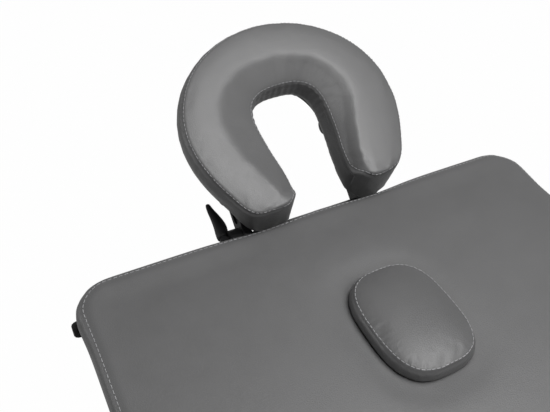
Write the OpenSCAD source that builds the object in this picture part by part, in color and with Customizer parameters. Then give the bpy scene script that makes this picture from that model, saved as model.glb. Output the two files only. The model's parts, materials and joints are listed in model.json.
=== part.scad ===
// Folding massage table with a padded top in two halves, telescopic legs and a tilting face cradle.
// The top folds at a hinge line across its middle, and the legs fold flat inside each half's frame.
// +Y points to the head end, +X to the carrying-handle side, and the feet stand on Z = 0.

/* [Top] */
// Width of the padded top
table_w = 700; // [660:10:740]
// Length of each padded half
half_len = 930; // [910:10:960]
// Height of the padded top with the legs at their shortest
top_z = 640; // [620:5:660]
// Height of the padding, from its wrapped lower lip to the seam line
pad_h = 50; // [46:2:56]
// Rise of the padding at its middle
pad_crown = 4; // [2:1:6]
// Radius of the padding's corners at the head and foot ends
corner_r = 45; // [35:5:60]
// Thickness of the plywood deck
board_t = 8; // [6:1:10]

/* [Breath hole] */
// Distance from the head edge to the middle of the hole
hole_from_edge = 214; // [200:2:230]
// Width of the plug's padded head
plug_w = 122; // [116:2:130]
// Length of the plug's padded head
plug_len = 155; // [146:1:160]
// Height of the plug's seam above the top
plug_rise = 17; // [12:1:20]
// Depth that the plug's neck reaches into the hole
plug_neck = 26; // [20:1:30]

/* [Frame] */
// Height of the extruded rails
rail_h = 45; // [42:1:48]
// Thickness of the extruded rails
rail_t = 20; // [18:1:22]
// Wall of the extruded rails
rail_wall = 2; // [1.6:0.2:2.6]
// Overhang of the padding past the side rails
side_overhang = 8; // [6:1:10]

/* [Legs] */
// Outer radius of the upper leg tubes
leg_r = 15; // [14:0.5:15]
// Outward lean of the legs, in degrees
splay = 4; // [2:1:5]
// Distance of the head legs from the centre line
head_leg_x = 300; // [298:1:301]
// Distance of the foot legs from the centre line
foot_leg_x = 254; // [252:1:256]
// Distance from the hinge line to the leg pivots
leg_u = 850; // [845:1:855]

/* [Face cradle] */
// Distance between the two posts
post_gap = 230; // [228:1:232]
// Slope of the cushion, in degrees
cushion_tilt = 30; // [28:1:32]
// Half width of the cushion at its widest
cushion_half_w = 165; // [158:0.5:168]
// Half width of the opening between the cushion's arms
opening_half_w = 50; // [46:0.5:52]
// How far askew the cushion lies on its pads, in degrees
cushion_turn = 3.4; // [-3:0.1:4.5]
// Height of the cushion's side wall
cushion_wall = 50; // [46:1:50]
// Rise of the cushion's crest above its seam
cushion_crest = 8; // [5:0.5:12]

/* [Hidden] */
$fn = 48;

// Colours, as the photo shows them or as such tables have them
leather_grey = [0.37, 0.37, 0.38];
cradle_grey = [0.44, 0.44, 0.45];
alloy = [0.78, 0.79, 0.80];
steel = [0.66, 0.67, 0.68];
moulded_black = [0.09, 0.09, 0.09];
rubber_black = [0.13, 0.13, 0.13];
plywood = [0.80, 0.66, 0.46];

// Places along the table. A half's own u runs from the hinge line to its outer end.
cradle_reach = 240;
head_y = half_len - cradle_reach / 2;
hinge_y = head_y - half_len;
fold_gap = 1;
seat = 0.05;
run = 0.1;
eps = 0.01;

// Heights, from the floor up
deck_z = top_z - pad_h;
rail_z = deck_z - rail_h;
hinge_z = rail_z - 3;
pivot_z = rail_z + 23;

// Frame outline
rail_x = table_w / 2 - side_overhang;
end_u = half_len - 2;
centre_u = 8;
corner_block = 30;

// Padding
lip = 10;
hole_n = 2.93;
hole_a = plug_w / 2 - 5;
hole_b = plug_len / 2 - 5;
neck_gap = 2;
arc_steps = 6;
side_steps = 9;

// Legs, measured along the leg from its pivot
leg_len = pivot_z / cos(splay);
tube_wall = 2.4;
lower_r = leg_r - tube_wall - run;
lower_wall = 2;
lower_top = 85;
upper_end = 372;
crossbar_at = 315;
crossbar_r = 11;
knob_at = 355;
collar_r = leg_r + 3;
collar_top = 298;
collar_end = 378;
pivot_r = 4;

// Folding braces. Each is two links that lie straight when the leg is out.
brace_on_leg = 240;
brace_on_frame = 280;
leg_fold = 90 + splay;
brace_span = sqrt(
    pow(brace_on_frame, 2) + pow(brace_on_leg, 2)
    - 2 * brace_on_frame * brace_on_leg * cos(leg_fold)
);
upper_link = (brace_span + brace_on_frame - brace_on_leg) / 2;
lower_link = brace_span - upper_link;
brace_angle = asin(brace_on_leg * sin(leg_fold) / brace_span);
link_r = 9;
link_t = 3;
rivet_r = 3;

// Face cradle, measured from the top's head edge. n is square to the cushion and v climbs it.
post_r = 7;
post_z = top_z - 72.5;
base_axle = [28, -50];
seam_lift = 40;
platform_v = 105;
platform_h = -cushion_wall - 28;
lever_x = 130;
upper_lever_x = 112.5;
arm_in = 91;
arm_out = 103.5;
plate_t = 10;
plate_gap = 0.5;

function slope_point(v, h) = [
    v * cos(cushion_tilt) - h * sin(cushion_tilt),
    seam_lift + v * sin(cushion_tilt) + h * cos(cushion_tilt)
];
platform_axle = slope_point(platform_v, platform_h);

// Helpers

// Puts a shape drawn in a half's own u on the head half or, mirrored, on the foot half
module on_half(foot = false) {
    translate([0, hinge_y, 0])
        if (foot) mirror([0, 1, 0]) children();
        else children();
}

module both_sides() {
    children();
    mirror([1, 0, 0]) children();
}

// A leg's own frame: the pivot is the origin and the leg runs down -Z
module on_leg(x) {
    translate([x, leg_u, pivot_z]) rotate([splay, 0, 0]) children();
}

module on_head_edge(y = 0, z = 0) {
    translate([0, head_y + y, top_z + z]) children();
}

// The cushion's own frame: X across, Y up its slope, Z square to it
module on_slope() {
    on_head_edge(0, seam_lift) rotate([cushion_tilt, 0, 0]) children();
}

module rod_x(r, x0, x1) {
    translate([x0, 0, 0]) rotate([0, 90, 0]) cylinder(r = r, h = x1 - x0);
}

module rod_y(r, y0, y1) {
    translate([0, y0, 0]) rotate([-90, 0, 0]) cylinder(r = r, h = y1 - y0);
}

// A plate with true round corners, from [0, 0]
module round_rect(size, r) {
    translate([r, 0]) square([size.x - 2 * r, size.y]);
    translate([0, r]) square([size.x, size.y - 2 * r]);
    for (x = [r, size.x - r], y = [r, size.y - r]) translate([x, y]) circle(r);
}

// A flat strap between two round ends, drawn in a plane whose axes are Y and Z
module strap(p, q, r, s) {
    d = (q - p) / norm(q - p);
    side = [-d.y, d.x];
    translate(p) circle(r);
    translate(q) circle(s);
    polygon([p + side * r, p - side * r, q - side * s, q + side * s]);
}

// Extrudes a drawing of the YZ plane along X
module across_x(x0, x1) {
    translate([x0, 0, 0]) rotate([90, 0, 90]) linear_extrude(x1 - x0) children();
}

// Soft forms. Each is a stack of closed loops, joined by triangles.

function loop_faces(rows, n, wrap) = [
    for (i = [0:rows - (wrap ? 1 : 2)], j = [0:n - 1])
    let (a = i * n + j, b = i * n + (j + 1) % n,
         c = ((i + 1) % rows) * n + j, d = ((i + 1) % rows) * n + (j + 1) % n)
    each [[a, c, b], [b, c, d]]
];

function fan_faces(start, n, centre, flip) = [
    for (j = [0:n - 1])
    let (a = start + j, b = start + (j + 1) % n)
    flip ? [centre, b, a] : [centre, a, b]
];

// Padding outline, counter-clockwise from the hinge end, drawn in by d
function pad_corner(x, u, r, from, d) = [
    for (i = [0:arc_steps])
    let (a = from + 90 * i / arc_steps)
    [x + (r - d) * cos(a), u + (r - d) * sin(a)]
];

function pad_side(p, q) = [for (i = [1:side_steps]) p + (q - p) * i / (side_steps + 1)];

hinge_corner_r = 18;
function pad_outline(d) =
    let (
        w = table_w / 2,
        r = hinge_corner_r,
        u0 = fold_gap,
        a = pad_corner(-w + r, u0 + r, r, 180, d),
        b = pad_corner(w - r, u0 + r, r, 270, d),
        c = pad_corner(w - corner_r, half_len - corner_r, corner_r, 0, d),
        e = pad_corner(-w + corner_r, half_len - corner_r, corner_r, 90, d)
    )
    concat(
        a, pad_side(a[arc_steps], b[0]), b, pad_side(b[arc_steps], c[0]),
        c, pad_side(c[arc_steps], e[0]), e, pad_side(e[arc_steps], a[0])
    );
pad_n = 4 * (arc_steps + 1 + side_steps);

// The point of the hole's rounded oval, grown by d, that lies under the outline's point p
function hole_point(p, d) =
    let (
        q = p - [0, half_len - hole_from_edge],
        s = pow(pow(abs(q.x) / (hole_a + d), hole_n) + pow(abs(q.y) / (hole_b + d), hole_n), 1 / hole_n)
    )
    [0, half_len - hole_from_edge] + q / s;

// Side wall and rolled edge of the padding: how far it is drawn in, and how high
pad_wall = [
    [lip, 0], [6, 0], [2, 3], [0.4, 12], [0, 24], [0.8, 34], [2.6, pad_h - 9], [5.5, pad_h - 4.5],
    [10, pad_h - 1.6], [16, pad_h]
];

function level(points, z) = [for (p = points) [p.x, p.y, z]];

function mix(p, q, t) = p * (1 - t) + q * t;

function pad_rows() = concat(
    [level(pad_outline(lip), board_t)],
    [for (w = pad_wall) level(pad_outline(w[0]), w[1])]
);

crown_steps = [0.1, 0.28, 0.5, 0.72, 0.9];
function crown_at(t) = pad_h + pad_crown * sin(min(1, t * 1.6) * 90);

module head_pad_form() {
    last = pad_outline(16);
    lip_rows = [[9, 0.8], [4, -1.4], [1, -6], [0, -12], [0, -34]];
    rows = concat(
        pad_rows(),
        [for (t = crown_steps) level([for (p = last) mix(p, hole_point(p, 14), t)], crown_at(t))],
        [for (w = lip_rows) level([for (p = last) hole_point(p, w[0])], pad_h + pad_crown + w[1])],
        [level([for (p = last) hole_point(p, 0)], board_t)]
    );
    polyhedron([for (r = rows) each r], loop_faces(len(rows), pad_n, true), convexity = 6);
}

module foot_pad_form() {
    last = pad_outline(16);
    middle = [0, half_len / 2];
    rows = concat(
        pad_rows(),
        [for (t = crown_steps) level([for (p = last) mix(p, middle, t)], crown_at(t))]
    );
    n = len(rows) * pad_n;
    polyhedron(
        concat([for (r = rows) each r], [[middle.x, middle.y, crown_at(1)], [middle.x, middle.y, board_t]]),
        concat(
            loop_faces(len(rows), pad_n, false),
            fan_faces(n - pad_n, pad_n, n, true),
            fan_faces(0, pad_n, n + 1, false)
        ),
        convexity = 4
    );
}

// Rounded oval of the plug, drawn in by d
plug_points = 40;
function plug_ring(d, z, grow = 0) = [
    for (i = [0:plug_points - 1])
    let (
        a = 360 * i / plug_points,
        s = pow(pow(abs(cos(a)), hole_n) + pow(abs(sin(a)), hole_n), 1 / hole_n)
    )
    [(plug_w / 2 - d) * cos(a) / s, (plug_len / 2 - d) * sin(a) / s, z]
];

module plug_form() {
    neck = plug_w / 2 - hole_a + neck_gap;
    under = pad_crown + 1.2;
    profile = [
        [neck + 3, -plug_neck], [neck, -plug_neck + 3], [neck, under - 2], [3, under],
        [0.8, under + 2], [0, under + 6], [0.5, plug_rise - 2], [2, plug_rise + 1.5], [8, plug_rise + 4],
        [20, plug_rise + 6.5], [38, plug_rise + 8]
    ];
    rows = [for (p = profile) plug_ring(p[0], p[1])];
    n = len(rows) * plug_points;
    polyhedron(
        concat([for (r = rows) each r], [[0, 0, plug_rise + 8.6], [0, 0, -plug_neck]]),
        concat(
            loop_faces(len(rows), plug_points, false),
            fan_faces(n - plug_points, plug_points, n, true),
            fan_faces(0, plug_points, n + 1, false)
        ),
        convexity = 4
    );
}

// Horseshoe cushion. Its plan is a round head and two arms that curve in to blunt ends. Its
// section has a flat base, a boxed wall, a long slope up to a crest and a short one down to
// the opening.
band_v = 110;
head_reach = 142;
opening_reach = 44;
opening_n = 3;
stations = 28;

// Outer and inner edge of an arm, as [outer across, outer v, inner across, inner v], evenly
// spaced from before the widest point to the arm's end. Across is a share of the half width.
arm = [
    [1, 134, 1, 128], [1, 110, 1, 110], [0.99, 88, 0.97, 91], [0.955, 64, 0.93, 71],
    [0.905, 42, 0.875, 53], [0.85, 23, 0.84, 37], [0.80, 7.5, 0.835, 24], [0.75, -3.5, 0.87, 12.5],
    [0.695, -11, 0.95, 2.5], [0.63, -15.5, 1.07, -6], [0.565, -17.7, 1.20, -12.5],
    [0.50, -18.7, 1.32, -16.6], [0.45, -19, 1.4, -18.5]
];
arm_spans = len(arm) - 3;

section = [
    [-0.80, 0], [-0.3, 0], [0.3, 0], [0.73, 0], [0.86, 3], [0.95, 11], [1.03, 25], [1.05, 38],
    [1.035, 49], [0.985, 57], [0.90, 60.5], [0.5, 63.6], [0.18, 64.8], [-0.16, 65], [-0.28, 59],
    [-0.48, 48.7], [-0.74, 41.9], [-0.925, 37], [-1.0, 30], [-1.02, 15], [-0.95, 3]
];
// The inner side of the section at an arm's end, where the slope has run out
end_side = [
    [-0.16, 65], [-0.34, 64.4], [-0.56, 63], [-0.8, 59.5], [-0.94, 54], [-1.02, 45], [-1.03, 22],
    [-0.95, 3]
];
crest_point = 13;

function section_at(s) =
    let (t = max(0, min(1, (s - 0.72) / 0.18)), m = t * t * (3 - 2 * t))
    [for (i = [0:len(section) - 1]) i < crest_point
        ? section[i]
        : section[i] * (1 - m) + end_side[i - crest_point] * m];

function section_h(h, fill) =
    h <= 50 ? h / 50 * cushion_wall - cushion_wall : (h - 50) / 15 * cushion_crest * fill;

// Smooth curve through evenly spaced points
function through(p, t) =
    let (i = min(floor(t), len(p) - 4), u = t - i, a = p[i], b = p[i + 1], c = p[i + 2], d = p[i + 3])
    ((2 * b) + (c - a) * u + (2 * a - 5 * b + 4 * c - d) * u * u
        + (3 * b - a - 3 * c + d) * u * u * u) / 2;

// Outer and inner edge points at station s, from 0 at the head to 1 at an arm's end
function edges_at(s) =
    s < 0.4
    ? let (
        a = s / 0.4 * 90,
        k = pow(pow(sin(a), opening_n) + pow(cos(a), opening_n), -1 / opening_n)
    ) [
        [cushion_half_w * sin(a), band_v + head_reach * cos(a)],
        [opening_half_w * sin(a) * k, band_v + opening_reach * cos(a) * k]
    ]
    : let (q = through(arm, (s - 0.4) / 0.6 * arm_spans))
    [[cushion_half_w * q[0], q[1]], [opening_half_w * q[2], q[3]]];

function end_fill(s) = s < 0.88 ? 1 : sqrt(max(0.02, 1 - pow((s - 0.88) / 0.125, 2)));

function station_ring(i) =
    let (
        s = abs(i) / stations,
        e = edges_at(s),
        across = i < 0 ? -1 : 1,
        o = [e[0].x * across, e[0].y],
        q = [e[1].x * across, e[1].y],
        m = (o + q) / 2,
        h = (o - q) / 2
    )
    [for (c = section_at(s)) [m.x + h.x * c[0], m.y + h.y * c[0], section_h(c[1], end_fill(s))]];

module cushion_form() {
    n = len(section);
    rings = [for (i = [-stations:stations]) station_ring(i)];
    count = len(rings);
    ends = [for (r = [rings[0], rings[count - 1]]) [for (k = [0:2]) (r[2][k] + r[crest_point][k]) / 2]];
    polyhedron(
        concat([for (r = rings) each r], ends),
        concat(
            loop_faces(count, n, false),
            fan_faces(0, n, count * n, false),
            fan_faces((count - 1) * n, n, count * n + 1, true)
        ),
        convexity = 6
    );
}

// Frame pieces

module rail_section() {
    difference() {
        round_rect([rail_t, rail_h], 2);
        translate([rail_wall, rail_wall])
            square([rail_t - 2 * rail_wall, rail_h - 2 * rail_wall]);
    }
}

// A rail between two points of u, with its outer face at rail_x
module side_rail() {
    translate([rail_x - rail_t, corner_block + 2, rail_z])
        rotate([-90, 0, 0]) mirror([0, 1, 0])
            linear_extrude(end_u - 2 * corner_block - 2) rail_section();
}

module cross_rail(u) {
    inner = rail_x - corner_block;
    translate([-inner, u, rail_z]) rotate([90, 0, 90]) linear_extrude(2 * inner) rail_section();
}

// A moulded block that joins two rails. Its spigots fill their hollows, and its round
// boss carries a bumper.
module corner_piece(u0, cross_u, boss_u) {
    inner = rail_x - corner_block;
    spigot = 26;
    play = 0.1;
    clear = rail_wall + play;
    to_side = u0 > half_len / 2 ? u0 - spigot : u0 + corner_block;
    difference() {
        union() {
            translate([inner, u0, rail_z]) linear_extrude(rail_h)
                round_rect([corner_block, corner_block], 6);
            translate([inner - spigot, cross_u + clear, rail_z + clear])
                cube([spigot + 8, rail_t - 2 * clear, rail_h - 2 * clear]);
            translate([rail_x - rail_t + clear, to_side - (u0 > half_len / 2 ? 0 : 8), rail_z + clear])
                cube([rail_t - 2 * clear, spigot + 8, rail_h - 2 * clear]);
            if (boss_u > 0) translate([0, boss_u, bumper_z]) rod_x(12.5, rail_x - 14, rail_x);
        }
        // Moulded pockets that lighten the block from below
        for (k = [0, 1])
            translate([inner + 5 + k * 11, u0 + 5, rail_z - 1]) cube([8, corner_block - 10, 20]);
    }
}

bumper_z = top_z - 66;
bumper_us = [half_len - 15, 70];

module corners(foot) {
    on_half(foot) both_sides() {
        corner_piece(end_u - corner_block, end_u - rail_t, bumper_us[0]);
        corner_piece(2, centre_u, 0);
    }
}

// A rubber foot that the folded table stands on when it is put down on its side
module bumper() {
    rotate([0, -90, 0]) rotate_extrude()
        polygon([
            [3, 0], [12, 0], [12, 3], [11.2, 4], [10, 10.5], [8.6, 13.3], [6.4, 14.6], [4.5, 14.6],
            [3.4, 12.5], [3, 12.5]
        ]);
    rotate([0, -90, 0]) cylinder(r = 3 - seat, h = 11.5);
}

module bumpers(foot) {
    on_half(foot) for (u = bumper_us) translate([-rail_x, u, bumper_z]) bumper();
}

// The deck, cut to fit inside the wrapped lip of the padding
module board(foot) {
    on_half(foot) translate([0, 0, deck_z]) linear_extrude(board_t - 0.1) difference() {
        polygon(pad_outline(lip + 0.3));
        if (!foot) polygon([for (p = pad_outline(lip)) hole_point(p, 4)]);
    }
}

// Butt hinges under the centre rails, with their barrels between the rails
barrel_r = 6;
leaf_t = 2.4;
leaf_w = 60;
pin_r = 2.5;
hinge_xs = [-210, 210];
knuckles = 5;

module hinge_leaf(x, odd) {
    step = leaf_w / knuckles;
    difference() {
        union() {
            translate([x - leaf_w / 2, 3, hinge_z + 3 - leaf_t])
                cube([leaf_w, 24, leaf_t]);
            for (k = [0:knuckles - 1]) if (k % 2 == odd)
                translate([x - leaf_w / 2 + k * step + 0.2, 0, hinge_z]) {
                    rod_x(barrel_r, 0, step - 0.4);
                    translate([0, 0, 3 - leaf_t]) cube([step - 0.4, 8, leaf_t]);
                }
        }
        // Room for the other leaf's knuckles
        for (k = [0:knuckles - 1]) if (k % 2 != odd)
            translate([x - leaf_w / 2 + k * step - 0.2, -8, hinge_z - 8]) cube([step + 0.4, 15, 20]);
        translate([0, 0, hinge_z]) rod_x(pin_r + run, x - leaf_w / 2 - 1, x + leaf_w / 2 + 1);
        // Countersunk screw holes
        for (dx = [-20, 0, 20]) translate([x + dx, 18, hinge_z + 3 - leaf_t - eps]) {
            cylinder(r = 2.1, h = leaf_t + 1);
            cylinder(r1 = 4, r2 = 2.1, h = 1.6, $fn = 24);
        }
    }
}

// Leg pivots: a plate on the rail, a standoff, and a bolt with a domed head
module leg_mount(x) {
    plate_x = rail_x - rail_t;
    translate([0, leg_u, pivot_z]) {
        translate([plate_x - 3, -20, -17]) rotate([90, 0, 90]) linear_extrude(3)
            round_rect([40, 34], 5);
        rod_x(9, x + leg_r + 0.5, plate_x - 2);
        rod_x(pivot_r, x - leg_r - 2, x + leg_r + 1);
        translate([x - leg_r - 2, 0, 0]) rotate([0, -90, 0])
            rotate_extrude() polygon([[0, 0], [7, 0], [7, 1.2], [5.6, 3.2], [3, 4.2], [0, 4.4]]);
        // Screws of the plate
        for (dy = [-14, 14], dz = [-11, 11])
            translate([0, dy, dz]) rod_x(2.8, plate_x - 5, plate_x - 2.9);
    }
}

module leg_mounts(foot) {
    x = foot ? foot_leg_x : head_leg_x;
    on_half(foot) both_sides() leg_mount(x);
}

// Brackets under the deck that carry the braces' upper ends
module brace_mount(x) {
    face = x - leg_r - 10;
    u = leg_u - brace_on_frame;
    difference() {
        union() {
            across_x(face - 3, face) {
                strap([u, pivot_z], [u, pivot_z + 6], 10, 10);
                translate([u - 12, pivot_z + 6]) square([24, deck_z - pivot_z - 6]);
            }
            translate([face - 27, u - 12, deck_z - 2.5]) cube([27, 24, 2.5]);
        }
        translate([face - 17, u, deck_z - 3]) cylinder(r = 2.4, h = 4);
    }
    translate([0, u, pivot_z]) {
        rod_x(rivet_r, face - 3.5, face + link_t + 1.2);
        rod_x(5, face + link_t + 1, face + link_t + 2.4);
        rod_x(5, face - 4.6, face - 3);
    }
}

module brace_mounts(foot) {
    x = foot ? foot_leg_x : head_leg_x;
    on_half(foot) both_sides() brace_mount(x);
}

// Sockets for a face cradle, pressed through the end rail. Both ends of the table have them.
socket_r = 11;
socket_u = 800;

module socket() {
    translate([post_gap / 2, 0, post_z]) difference() {
        union() {
            rod_y(socket_r, socket_u, end_u);
            rod_y(15, end_u, end_u + 2.5);
            translate([-13, socket_u, -13]) cube([26, 14, deck_z - post_z + 13]);
        }
        rod_y(post_r + run, socket_u - 1, end_u + 4);
    }
}

module end_rail() {
    difference() {
        cross_rail(end_u - rail_t);
        for (s = [-1, 1]) translate([s * post_gap / 2, 0, post_z])
            rod_y(socket_r + seat, end_u - rail_t - 1, end_u + 1);
    }
}

// Carrying handle, drawn round its own pivot. It hangs down from two clips on the side rail.
handle_u = 300;
handle_x = rail_x + 9;
handle_z = top_z - 66;
handle_span = 55;
handle_drop = 24;
grip_r = 7.5;

module handle(foot) {
    on_half(foot) translate([handle_x, handle_u, handle_z]) {
        translate([0, 0, -handle_drop]) rotate([-90, 0, 0]) rotate_extrude()
            polygon([
                [0, -handle_span], [6, -handle_span], [7, -handle_span + 1.5], [grip_r, -38],
                [6.9, -19], [grip_r, 0], [6.9, 19], [grip_r, 38], [7, handle_span - 1.5],
                [6, handle_span], [0, handle_span]
            ]);
        for (s = [-1, 1]) {
            translate([0, s * (handle_span - 5), 0]) rotate([90, 0, 0])
                linear_extrude(10, center = true) strap([0, 0], [0, -handle_drop], 6.5, 6.5);
            translate([0, s * (handle_span - 3), 0]) rod_y(4, s > 0 ? 0 : -14, s > 0 ? 14 : 0);
        }
    }
}

module handle_clips(foot) {
    on_half(foot) for (s = [-1, 1]) translate([rail_x, handle_u + s * (handle_span + 8), handle_z])
        difference() {
            union() {
                translate([0, -7, -9]) cube([9, 14, 18]);
                translate([9, 0, 0]) rod_y(8, -7, 7);
                translate([0, -7, -15]) rotate([90, 0, 90]) linear_extrude(3) round_rect([14, 30], 3);
            }
            translate([9, 0, 0]) rod_y(4 + run, -8, 8);
        }
}

// Swivel hook that holds the folded halves together, drawn lying along the rail
latch_us = [760, 140];
latch_z = top_z - 80;
latch_reach = 2 * (latch_z - hinge_z);

module latch(u) {
    on_half() translate([0, u, latch_z]) difference() {
        across_x(rail_x + 1, rail_x + 4) strap([0, 0], [latch_reach, 0], 8, 10);
        rod_x(3.6, rail_x, rail_x + 5);
        // Mouth of the hook
        translate([0, latch_reach, 0]) rod_x(4.5, rail_x, rail_x + 5);
        translate([rail_x, latch_reach - 4.5, -14]) cube([5, 9, 14]);
    }
}

module latch_pivot() {
    rod_x(3.5, 0, 4.4);
    rod_x(6, 0, 0.9);
    translate([4.3, 0, 0]) rotate([0, 90, 0])
        rotate_extrude() polygon([[0, 0], [6.5, 0], [6.5, 0.6], [5, 1.8], [0, 2.4]]);
}

module latch_stud() {
    rod_x(4, 0, 5);
    rod_x(8, 0, 0.9);
    translate([4.6, 0, 0]) rotate([0, 90, 0])
        rotate_extrude() polygon([[0, 0], [7, 0], [7, 0.8], [5.4, 2.2], [0, 2.8]]);
}

// Legs

module upper_leg() {
    difference() {
        union() {
            translate([0, 0, -upper_end]) cylinder(r = leg_r, h = upper_end);
            rod_x(leg_r - 0.4, -leg_r + 2, leg_r - 2);
            // Boss of the brace
            translate([0, 0, -brace_on_leg]) rod_x(8, -leg_r - 2.5, 0);
        }
        translate([0, 0, -upper_end - 1])
            cylinder(r = leg_r - tube_wall, h = upper_end - 60);
        rod_x(pivot_r + run, -leg_r - 1, leg_r + 1);
        translate([0, 0, -brace_on_leg]) rod_x(rivet_r + seat, -leg_r - 3, -leg_r + 1.2);
        translate([0, 0, -knob_at]) rod_x(4.4, -leg_r - 1, 0);
    }
}

module upper_legs(foot) {
    x = foot ? foot_leg_x : head_leg_x;
    on_half(foot) both_sides() on_leg(x) upper_leg();
}

// Moulded collar: it grips the upper tube, carries the crossbar and takes the clamp knob
module collar() {
    difference() {
        union() {
            translate([0, 0, -collar_end]) rotate_extrude() polygon([
                [leg_r - tube_wall, 0], [collar_r - 1.5, 0], [collar_r, 1.5],
                [collar_r, collar_end - collar_top - 4], [collar_r - 2, collar_end - collar_top],
                [leg_r + seat, collar_end - collar_top], [leg_r + seat, 6], [leg_r - tube_wall, 6]
            ]);
            translate([0, 0, -crossbar_at]) rod_x(13, -34, -leg_r - 1);
            translate([0, 0, -knob_at]) rod_x(9, -25.5, -leg_r - 1);
        }
        translate([0, 0, -crossbar_at]) rod_x(crossbar_r + seat, -35, -19);
        translate([0, 0, -knob_at]) rod_x(4 + run, -30, 0);
    }
}

module collars(foot) {
    x = foot ? foot_leg_x : head_leg_x;
    on_half(foot) both_sides() on_leg(x) collar();
}

module crossbar(foot) {
    x = (foot ? foot_leg_x : head_leg_x) - 19.1;
    on_half(foot) on_leg(0) translate([0, 0, -crossbar_at]) difference() {
        rod_x(crossbar_r, -x, x);
        rod_x(crossbar_r - 2, -x - 1, x + 1);
    }
}

lower_end = leg_len - 9;

module lower_leg() {
    difference() {
        translate([0, 0, -lower_end]) cylinder(r = lower_r, h = lower_end - lower_top);
        translate([0, 0, -lower_end - 1])
            cylinder(r = lower_r - lower_wall, h = lower_end - lower_top + 2);
    }
}

// Rubber tip, cut level so that it stands flat on the floor
module tip() {
    tip_top = lower_end - 22;
    difference() {
        translate([0, 0, -leg_len - 4]) rotate_extrude() polygon([
            [0, 0], [17, 0], [17, 10], [16, 11], [16, 13], [17, 14], [16.6, 18],
            [14.6, leg_len + 4 - tip_top - 2], [14, leg_len + 4 - tip_top],
            [lower_r + seat, leg_len + 4 - tip_top], [lower_r + seat, 13], [0, 13]
        ]);
        rotate([-splay, 0, 0]) translate([-40, -40, -pivot_z - 30]) cube([80, 80, 30]);
    }
}

// Clamp knob with six lobes, its screw reaching through the collar to the lower tube
module knob() {
    lobes = 6;
    difference() {
        union() {
            rod_x(4, -30, -lower_r - 0.2);
            rod_x(9, -29, -26);
            rod_x(13, -43, -28.5);
            for (k = [0:lobes - 1]) rotate([k * 360 / lobes, 0, 0])
                translate([0, 0, 12]) rod_x(3.6, -42, -30);
        }
        rod_x(6, -44, -40.5);
    }
}

module leg_part(foot, side) {
    x = foot ? foot_leg_x : head_leg_x;
    on_half(foot) mirror([side < 0 ? 1 : 0, 0, 0]) on_leg(x) children();
}

// Braces

// Flat link with a hole or a rivet at each end, pressed from steel strip with a stiffening bead
module link(p, q, x, hole_at_p) {
    d = (q - p) / norm(q - p);
    difference() {
        union() {
            across_x(x, x + link_t) strap(p, q, link_r, link_r);
        }
        if (hole_at_p) translate([0, p.x, p.y]) rod_x(rivet_r + seat, x - 1, x + link_t + 1);
        across_x(x + link_t - 1, x + link_t + 1) strap(p + d * 22, q - d * 22, 2.5, 2.5);
    }
}

function leg_point(s) = [leg_u + s * sin(splay), pivot_z - s * cos(splay)];
frame_joint = [leg_u - brace_on_frame, pivot_z];
leg_joint = leg_point(brace_on_leg);
elbow = frame_joint + (leg_joint - frame_joint) * upper_link / brace_span;

module brace_upper(foot) {
    x = (foot ? foot_leg_x : head_leg_x) - leg_r - 9.5;
    on_half(foot) both_sides() {
        link(frame_joint, elbow, x, true);
        translate([0, elbow.x, elbow.y]) rod_x(5.5, x - 1.8, x + 0.1);
    }
}

module brace_lower(foot) {
    leg = foot ? foot_leg_x : head_leg_x;
    x = leg - leg_r - 6;
    on_half(foot) both_sides() {
        link(elbow, leg_joint, x, false);
        translate([0, leg_joint.x, leg_joint.y]) {
            rod_x(rivet_r, x + 0.5, leg - leg_r + 1);
        }
        translate([0, elbow.x, elbow.y]) rod_x(5.5, x + link_t - 0.1, x + link_t + 1.6);
    }
}

// Face cradle

module cradle_post() {
    translate([0, head_y, post_z]) difference() {
        union() {
            rod_y(post_r, -120, 17.5);
            translate([0, -120, 0]) rotate([90, 0, 0]) cylinder(r1 = post_r, r2 = post_r - 2, h = 4);
        }
        rod_y(post_r - 2, -125, 10);
    }
}

post_at = [12, -72.5];

// Moulded base: a sleeve for each post, a cheek up to the axle, and a ribbed bar between
module base_side() {
    difference() {
        union() {
            across_x(105.5, 121.5) strap(post_at, base_axle, 10.5, 17);
            translate([post_gap / 2, 0, post_at.y]) rod_y(11, 3, 21);
        }
        translate([post_gap / 2, 0, post_at.y]) rod_y(post_r + seat, 2, 18);
        translate([0, base_axle.x, base_axle.y]) rod_x(4 + run, 100, 125);
        // Shallow dish in the cheek's outer face
        translate([0, base_axle.x, base_axle.y]) rod_x(9.5, 120.7, 122);
    }
}

module cradle_bar() {
    bar_z = post_at.y - 13;
    difference() {
        translate([0, 6, bar_z]) rotate([90, 0, 90]) linear_extrude(216, center = true)
            round_rect([12, 13], 3);
        for (k = [-4:4]) translate([k * 20, 4, bar_z + 3.5]) cube([14, 4.5, 6], center = false);
    }
}

module arm_side() {
    difference() {
        union() {
            across_x(arm_in, arm_out) {
                strap(base_axle, platform_axle, 16, 13);
            }
        }
        translate([0, base_axle.x, base_axle.y]) rod_x(4 + run, arm_in - 1, arm_out + 1);
        translate([0, platform_axle.x, platform_axle.y])
            rod_x(4 + run, arm_in - 1, arm_out + 1);
        // Recess between the hubs on the outer face
        d = (platform_axle - base_axle) / norm(platform_axle - base_axle);
        across_x(arm_out - 3, arm_out + 1) strap(base_axle + d * 30, platform_axle - d * 27, 8, 7);
    }
}

module arm_tube() {
    translate([0, base_axle.x, base_axle.y]) difference() {
        rod_x(5.6, -arm_in - 0.5, arm_in + 0.5);
        rod_x(4 + run, -arm_in - 1, arm_in + 1);
    }
}

// Eye and cross pin of a clamp bolt, where the cam lever swings
module cam_eye() {
    translate([0, 0, -4]) cylinder(r = 5.5, h = 8);
    translate([0, 0, -10]) cylinder(r = 2.5, h = 20);
}

module bolt_nut(x) {
    rod_x(8, x, x + 1.4);
    translate([x + 1.2, 0, 0]) rotate([0, 90, 0]) cylinder(r = 7.2, h = 6, $fn = 6);
}

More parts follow.
